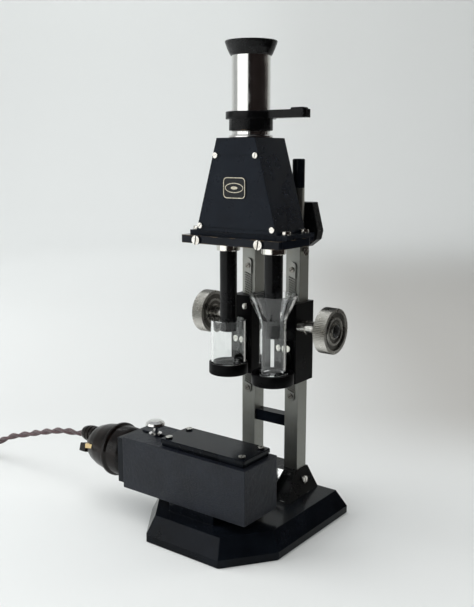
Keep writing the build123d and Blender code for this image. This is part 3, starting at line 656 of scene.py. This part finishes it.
def even_steps(places, step):
    """Points evenly spaced along a line of points."""
    lengths = [0.0]
    for here, after in zip(places, places[1:]):
        lengths.append(lengths[-1] + (after - here).length)
    total = lengths[-1]
    count = max(2, round(total / step))
    spaced, index = [], 0
    for number in range(count + 1):
        reach = total * number / count
        while index < len(lengths) - 2 and lengths[index + 1] < reach:
            index += 1
        span = lengths[index + 1] - lengths[index]
        share = (reach - lengths[index]) / span if span else 0.0
        spaced.append(places[index].lerp(places[index + 1], min(1.0, max(0.0, share))))
    return spaced, total


def carried_frames(path):
    """Directions across the path, carried along it without twist."""
    across = Vector((0, 0, 1))
    frames = []
    for number, here in enumerate(path):
        before = path[max(0, number - 1)]
        after = path[min(len(path) - 1, number + 1)]
        ahead = (after - before).normalized()
        across = (across - ahead * across.dot(ahead)).normalized()
        frames.append((here, across.copy(), ahead.cross(across)))
    return frames


def make_strands(path, total):
    """Two strands twisted about the path, as one mesh with a UV map for the braid."""
    frames = carried_frames(path)
    step = total / (len(path) - 1)
    mesh = bmesh.new()
    uv_layer = mesh.loops.layers.uv.new("braid")
    for strand in (0, 1):
        rings = []
        for number, (here, side, up) in enumerate(frames):
            phase = 2 * math.pi * number * step / TWIST_PITCH + math.pi * strand
            out = side * math.cos(phase) + up * math.sin(phase)
            over = up * math.cos(phase) - side * math.sin(phase)
            centre = here + out * STRAND_OFFSET
            ring = []
            for corner in range(STRAND_SIDES):
                turn = 2 * math.pi * corner / STRAND_SIDES
                spoke = (out * math.cos(turn) + over * math.sin(turn)) * STRAND
                ring.append(mesh.verts.new(centre + spoke))
            rings.append(ring)
        for number in range(len(rings) - 1):
            for corner in range(STRAND_SIDES):
                beside = (corner + 1) % STRAND_SIDES
                face = mesh.faces.new((rings[number][corner], rings[number][beside],
                                       rings[number + 1][beside], rings[number + 1][corner]))
                face.smooth = True
                u0, u1 = corner, corner + 1
                v0, v1 = number * step * BRAID_ALONG, (number + 1) * step * BRAID_ALONG
                for loop, spot in zip(face.loops, ((u0, v0), (u1, v0), (u1, v1), (u0, v1))):
                    loop[uv_layer].uv = (spot[0] * BRAID_ROUND, spot[1])
        mesh.faces.new(reversed(rings[0]))
        mesh.faces.new(rings[-1])
    bmesh.ops.recalc_face_normals(mesh, faces=mesh.faces)
    data = bpy.data.meshes.new("flex_strands")
    mesh.to_mesh(data)
    mesh.free()
    return data


def make_flex():
    path, total = even_steps(make_route(flex_points()), STEP_LENGTH)
    piece = bpy.data.objects.new("twisted_flex", make_strands(path, total))
    bpy.context.scene.collection.objects.link(piece)
    piece.data.materials.append(braid("flex_braid", (0.035, 0.009, 0.012), (0.12, 0.05, 0.055)))
    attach(piece, "lamp")
    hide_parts("flex", "flex_coil")
    print("flex length", round(total, 3))


# ---------------------------------------------------------------- floor

FLOOR_REACH, BEND, WALL_TOP = 1.9, 0.7, 2.6    # metres
FLOOR_RINGS, BEND_RINGS, SECTORS = 6, 12, 96


def make_sweep():
    """A round floor that curves up into a wall on every side."""
    profile = [(FLOOR_REACH * part / FLOOR_RINGS, 0.0) for part in range(FLOOR_RINGS + 1)]
    for part in range(1, BEND_RINGS + 1):
        turn = math.pi / 2 * part / BEND_RINGS
        profile.append((FLOOR_REACH + BEND * math.sin(turn), BEND * (1 - math.cos(turn))))
    profile.append((FLOOR_REACH + BEND, WALL_TOP))
    mesh = bmesh.new()
    middle = mesh.verts.new((0, 0, 0))
    rings = [[mesh.verts.new((reach * math.cos(2 * math.pi * number / SECTORS),
                              reach * math.sin(2 * math.pi * number / SECTORS), height))
              for number in range(SECTORS)] for reach, height in profile[1:]]
    for number in range(SECTORS):
        beside = (number + 1) % SECTORS
        mesh.faces.new((middle, rings[0][number], rings[0][beside]))
        for inner, outer in zip(rings, rings[1:]):
            mesh.faces.new((inner[number], outer[number], outer[beside], inner[beside]))
    for face in mesh.faces:
        face.smooth = True
    data = bpy.data.meshes.new("sweep")
    mesh.to_mesh(data)
    mesh.free()
    # the second colour is the painted shade behind the object
    data.materials.append(sweep_paper_painted_shade((0.80, 0.81, 0.80), (0.47, 0.46, 0.44)))
    sweep = bpy.data.objects.new("sweep", data)
    bpy.context.scene.collection.objects.link(sweep)


make_camera()
make_flex()
make_lights()
make_sweep()
make_flag()
dress_nodes()
break_edges()
bpy.context.scene.view_settings.view_transform = "Standard"

bpy.context.view_layer.update()
